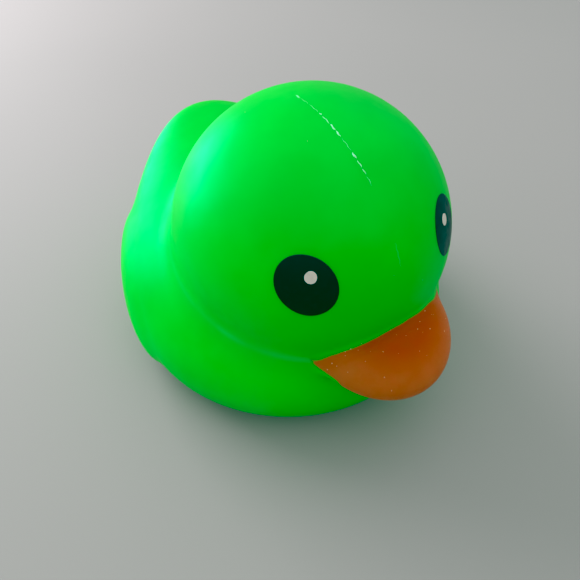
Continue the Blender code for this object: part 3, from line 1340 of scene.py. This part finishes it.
@dataclass
class Duck:
    """The whole duck: its skin and what lies on it."""

    form: DuckForm = field(default_factory=DuckForm)
    black: PrintFinish = PrintFinish("printed_black", (0.012, 0.012, 0.033), (0.015, 0.016, 0.038))
    white: PrintFinish = PrintFinish("printed_white", (0.66, 0.61, 0.54), (0.55, 0.51, 0.45), (0.35, 0.45))

    def build(self) -> dict[bpy.types.Object, Slot]:
        """Build every piece about the head's middle.

        Returns:
            Each piece with the finish that it takes.
        """
        parting = Parting(self.form)
        skin = Skin(self.form).build(parting)
        pieces = {skin: Slot.SKIN, parting.build(): Slot.SKIN, Dust(self.form).build(skin.data): Slot.BILL}
        ink = self.black.material()
        white = self.white.material()
        eyes = (
            EyePrint(self.form, "right", -34.9, 20.2, 39.0, -33.5, 23.6),
            EyePrint(self.form, "left", 31.3, 20.9, -4.0, 29.9, 24.2, half_height=9.3 * MM),
        )
        for eye in eyes:
            oval, spot = eye.build(ink, white)
            pieces[oval] = Slot.EYE
            pieces[spot] = Slot.SPOT
        return pieces

    def seat(self, pieces: dict[bpy.types.Object, Slot]) -> Vector:
        """Move every piece so that the skin's box is centred where the construction model's is.

        Args:
            pieces: The pieces, whose first is the skin.

        Returns:
            How far they were moved, which is where the head's middle now stands over.
        """
        low, high = (np.array(corner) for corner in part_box(NODE))
        points = read_points(next(iter(pieces)).data)
        shift = (low + high - points.min(axis=0) - points.max(axis=0)) / 2.0
        shift[2] = 0.0
        for piece in pieces:
            write_points(piece.data, read_points(piece.data) + shift)
        return Vector(shift)

    def attach(self, pieces: dict[bpy.types.Object, Slot]) -> None:
        """Attach each piece to the body that it rides on, hide the construction model's node that the skin
        replaces, and log each piece's finish.

        Args:
            pieces: The pieces, whose first is the skin.
        """
        for index, (piece, slot) in enumerate(pieces.items()):
            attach(piece, BODY)
            if index == 0:
                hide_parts(NODE)
            LOG.info("%s: %d faces, finish %s", piece.name, len(piece.data.polygons), slot.value)


# The studio


@dataclass(frozen=True)
class Lamp:
    """A soft rectangular light: its place from the head's middle, size, power in watts and colour."""

    name: str
    place: Point
    size: tuple[float, float]
    power: float
    colour: Colour

    def hang(self, head: Vector, lit: list[bpy.types.Object], shading: list[bpy.types.Object]) -> None:
        """Hang the lamp so that it faces the head, and let it light some things alone.

        Args:
            head: The head's middle.
            lit: What it lights.
            shading: What alone throws shadows in its light. Where this is empty, everything does.
        """
        light = bpy.data.lights.new(self.name, "AREA")
        light.shape = "RECTANGLE"
        light.size, light.size_y = self.size
        light.energy = self.power
        light.color = self.colour
        thing = bpy.data.objects.new(self.name, light)
        thing.location = head + Vector(self.place)
        thing.rotation_euler = Vector(self.place).to_track_quat("Z", "Y").to_euler()
        bpy.context.scene.collection.objects.link(thing)
        linking = thing.light_linking
        linking.receiver_collection = bpy.data.collections.new(f"lit_by_{self.name}")
        for target in lit:
            linking.receiver_collection.objects.link(target)
        if shading:
            linking.blocker_collection = bpy.data.collections.new(f"shading_{self.name}")
            for target in shading:
                linking.blocker_collection.objects.link(target)


@dataclass
class Studio:
    """A pale floor, soft light from behind the duck's right and a camera close above its right cheek.

    The two tinted lamps light the green skin and the flash alone, and the pale one lights the floor alone.
    """

    head: Vector
    glowing: list[bpy.types.Object]
    floor_colour: Colour = (0.335, 0.305, 0.305)
    floor_shade: float = 0.97
    floor_cloud: float = 0.4
    floor_roughness: float = 0.7
    floor_size: float = 6.0
    floor_drop: float = 0.05 * MM
    room_colour: Colour = (0.97, 0.99, 1.0)
    light_at_horizon: float = 0.36
    light_overhead: float = 1.27
    window: Lamp = Lamp("window", (-0.30, 0.88, 0.50), (0.70, 0.50), 9.0, (0.97, 0.98, 1.0))
    low_glow: Lamp = Lamp("low_glow", (-0.40, 0.85, 0.16), (0.80, 0.42), 8.8, (0.08, 0.95, 0.78))
    high_fill: Lamp = Lamp("high_fill", (-0.65, 0.45, 0.70), (0.90, 0.90), 3.6, (0.08, 0.90, 0.42))
    camera_from_head: Point = (-66.14 * MM, -97.25 * MM, 95.26 * MM)
    camera_ahead: Point = (0.34958, 0.58677, -0.73041)
    camera_right: Point = (0.85163, -0.52397, -0.01333)
    lens: float = 27.62
    sensor: float = 36.0
    nearest: float = 5.0 * MM
    black_level: Colour = (0.06, 0.0, 0.027)

    def floor(self) -> bpy.types.Object:
        """Lay the floor, a hair below the duck.

        Returns:
            The floor.
        """
        half = self.floor_size / 2.0
        corners = [(-half, -half, 0.0), (half, -half, 0.0), (half, half, 0.0), (-half, half, 0.0)]
        thing = new_object("floor", mesh_of(corners, [(0, 1, 2, 3)]))
        thing.location.z = -self.floor_drop
        nodes = Nodes("pale_floor")
        darker = tuple(self.floor_shade * channel for channel in self.floor_colour)
        tone = nodes.patches(self.floor_cloud, 2.0, 0.0, 1.0)
        nodes.feed("Base Color", nodes.mix(tone, self.floor_colour, darker))
        nodes.set("Roughness", self.floor_roughness)
        thing.data.materials.append(nodes.material)
        return thing

    def world(self) -> None:
        """Fill the room with soft pale light that is strongest overhead."""
        world = bpy.data.worlds.new("room")
        world.use_nodes = True
        tree = world.node_tree
        back = tree.nodes["Background"]
        back.inputs["Color"].default_value = (*self.room_colour, 1.0)
        way = tree.nodes.new("ShaderNodeTexCoord")
        parts = tree.nodes.new("ShaderNodeSeparateXYZ")
        rise = tree.nodes.new("ShaderNodeMapRange")
        tree.links.new(way.outputs["Generated"], parts.inputs["Vector"])
        tree.links.new(parts.outputs["Z"], rise.inputs["Value"])
        rise.inputs["To Min"].default_value = self.light_at_horizon
        rise.inputs["To Max"].default_value = self.light_overhead
        tree.links.new(rise.outputs["Result"], back.inputs["Strength"])
        bpy.context.scene.world = world

    def camera(self) -> None:
        """Set the camera where the photograph was taken from."""
        data = bpy.data.cameras.new("camera")
        data.lens = self.lens
        data.sensor_width = self.sensor
        data.clip_start = self.nearest
        ahead = Vector(self.camera_ahead).normalized()
        right = Vector(self.camera_right)
        right = (right - ahead * right.dot(ahead)).normalized()
        turn = Matrix((right, right.cross(ahead), -ahead)).transposed()
        thing = bpy.data.objects.new("camera", data)
        thing.matrix_world = Matrix.Translation(self.head + Vector(self.camera_from_head)) @ turn.to_4x4()
        bpy.context.scene.collection.objects.link(thing)
        bpy.context.scene.camera = thing

    def build(self) -> None:
        """Set up the floor, the lights and the camera."""
        floor = self.floor()
        self.world()
        self.window.hang(self.head, [floor], [])
        self.low_glow.hang(self.head, self.glowing, [floor])
        self.high_fill.hang(self.head, self.glowing, [])
        self.camera()
        view = bpy.context.scene.view_settings
        view.view_transform = "Standard"
        view.use_curve_mapping = True
        view.curve_mapping.black_level = self.black_level
        view.curve_mapping.update()


def main() -> None:
    """Load the frame, build the duck on it and light it."""
    logging.basicConfig(level=logging.INFO, format="%(name)s: %(message)s")
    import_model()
    duck = Duck()
    pieces = duck.build()
    shift = duck.seat(pieces)
    duck.attach(pieces)
    green = [piece for piece, slot in pieces.items() if slot is Slot.SKIN]
    Studio(shift + Vector((0.0, 0.0, duck.form.head_height)), green).build()


if __name__ == "__main__":
    main()
